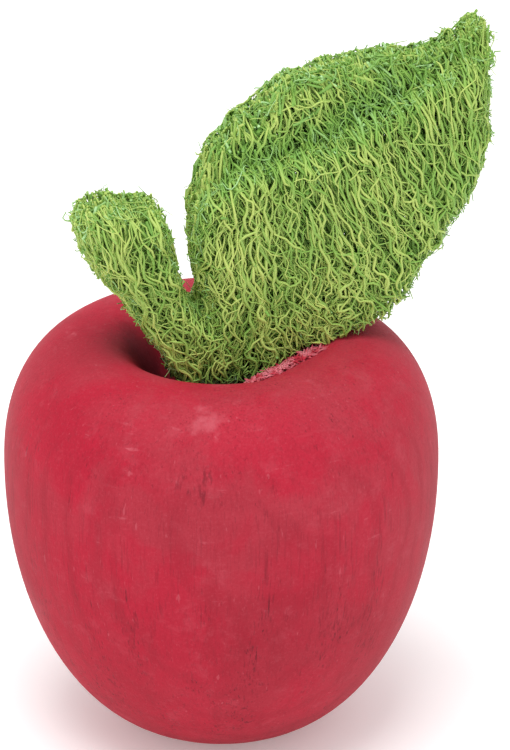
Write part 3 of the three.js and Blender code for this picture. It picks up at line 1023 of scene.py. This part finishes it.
class APPLETOY_OT_fray(bpy.types.Operator):
    """Fray the sheet's outline with fine ends and curls"""

    bl_idname = "appletoy.fray"
    bl_label = "Fray Outline"

    def execute(self, context):
        luffa = context.scene.appletoy_luffa
        sheet = Sheet(luffa)
        strands = Strands(luffa, sheet, 70)
        rng, count = strands.rng, FRAY_STRANDS
        for cut, low, high in sheet.halves(FRAY_FROM_FACE):
            places, inward = cut.edge_places(rng, count)
            depth = rng.uniform(low, high, count)
            inset = sheet.rim_inset(depth, places[:, 1]) + rng.uniform(-0.1, 0.7, count)
            flat = places + inward * inset[:, None]
            along = np.c_[-inward[:, 1], inward[:, 0]] * rng.normal(0, 0.8, (count, 1)) + inward * 0.3
            headings = unit(np.c_[along[:, 0], rng.normal(0, 0.8, count), along[:, 1]])
            tints = rng.uniform(0.1, 0.9, count)
            shades = rng.uniform(0, 0.25, count)
            centres = np.c_[flat[:, 0], depth, flat[:, 1]]
            strands.tangle(FRAY, centres, headings, tints, shades)
        strands.to_piece("luffa_fray", luffa_finish(luffa))
        return {"FINISHED"}


class APPLETOY_OT_stage(bpy.types.Operator):
    """Set the camera, the soft light and the pale floor"""

    bl_idname = "appletoy.stage"
    bl_label = "Set Stage"

    def execute(self, context):
        scene = context.scene
        stage = scene.appletoy_stage
        scene.view_settings.view_transform = "Standard"
        self.place_camera(scene, stage)
        self.hang_key_light(scene, stage)
        self.light_all_round(scene, stage)
        self.lay_floor(scene, stage)
        return {"FINISHED"}

    def place_camera(self, scene, stage):
        camera = bpy.data.cameras.new("camera")
        camera.lens = stage.lens
        camera.sensor_width = 36
        camera.clip_start = 0.01
        eye = bpy.data.objects.new("camera", camera)
        eye.rotation_euler = (math.pi / 2 - stage.elevation, 0, 0)
        back = Vector((0, -math.cos(stage.elevation), math.sin(stage.elevation)))
        eye.location = Vector(stage.target) + back * stage.distance
        scene.collection.objects.link(eye)
        scene.camera = eye

    def hang_key_light(self, scene, stage):
        light = bpy.data.lights.new("key_light", "AREA")
        light.size = stage.key_size
        light.energy = stage.key_power
        lamp = bpy.data.objects.new("key_light", light)
        lamp.location = stage.key_place
        down = Vector(stage.target) - Vector(stage.key_place)
        lamp.rotation_euler = down.to_track_quat("-Z", "Y").to_euler()
        scene.collection.objects.link(lamp)

    def light_all_round(self, scene, stage):
        world = bpy.data.worlds.new("even_light")
        world.use_nodes = True
        background = world.node_tree.nodes["Background"]
        background.inputs["Color"].default_value = (1, 1, 1, 1)
        background.inputs["Strength"].default_value = stage.sky
        scene.world = world

    def lay_floor(self, scene, stage):
        shape = bmesh.new()
        bmesh.ops.create_grid(shape, x_segments=1, y_segments=1, size=3)
        mesh = bpy.data.meshes.new("floor")
        shape.to_mesh(mesh)
        shape.free()
        finish = Finish("pale_floor")
        white = (*stage.floor, 1)
        mesh.materials.append(
            finish.surface(
                Base_Color=white, Roughness=0.9, Emission_Color=white, Emission_Strength=stage.floor_glow
            )
        )
        floor = bpy.data.objects.new("floor", mesh)
        scene.collection.objects.link(floor)


STEPS = (
    APPLETOY_OT_body,
    APPLETOY_OT_splinters,
    APPLETOY_OT_faces,
    APPLETOY_OT_core,
    APPLETOY_OT_fray,
    APPLETOY_OT_stage,
)
SETTINGS = {"appletoy_body": BodySettings, "appletoy_luffa": LuffaSettings, "appletoy_stage": StageSettings}


class APPLETOY_PT_sidebar(bpy.types.Panel):
    """Sizes, colours and steps of the wooden apple"""

    bl_idname = "APPLETOY_PT_sidebar"
    bl_label = "Wooden Apple"
    bl_space_type = "VIEW_3D"
    bl_region_type = "UI"
    bl_category = "Apple Toy"

    def draw(self, context):
        for step in STEPS:
            self.layout.operator(step.bl_idname)
        for name, group in SETTINGS.items():
            box = self.layout.box()
            for prop in group.__annotations__:
                box.prop(getattr(context.scene, name), prop)


def register():
    for group in SETTINGS.values():
        bpy.utils.register_class(group)
    for step in (*STEPS, APPLETOY_PT_sidebar):
        bpy.utils.register_class(step)
    for name, group in SETTINGS.items():
        setattr(bpy.types.Scene, name, PointerProperty(type=group))


def unregister():
    for name in SETTINGS:
        delattr(bpy.types.Scene, name)
    for step in (APPLETOY_PT_sidebar, *reversed(STEPS)):
        bpy.utils.unregister_class(step)
    for group in SETTINGS.values():
        bpy.utils.unregister_class(group)


def main():
    register()
    bpy.ops.appletoy.body()
    bpy.ops.appletoy.splinters()
    bpy.ops.appletoy.faces()
    bpy.ops.appletoy.core()
    bpy.ops.appletoy.fray()
    bpy.ops.appletoy.stage()


if __name__ == "__main__":
    main()
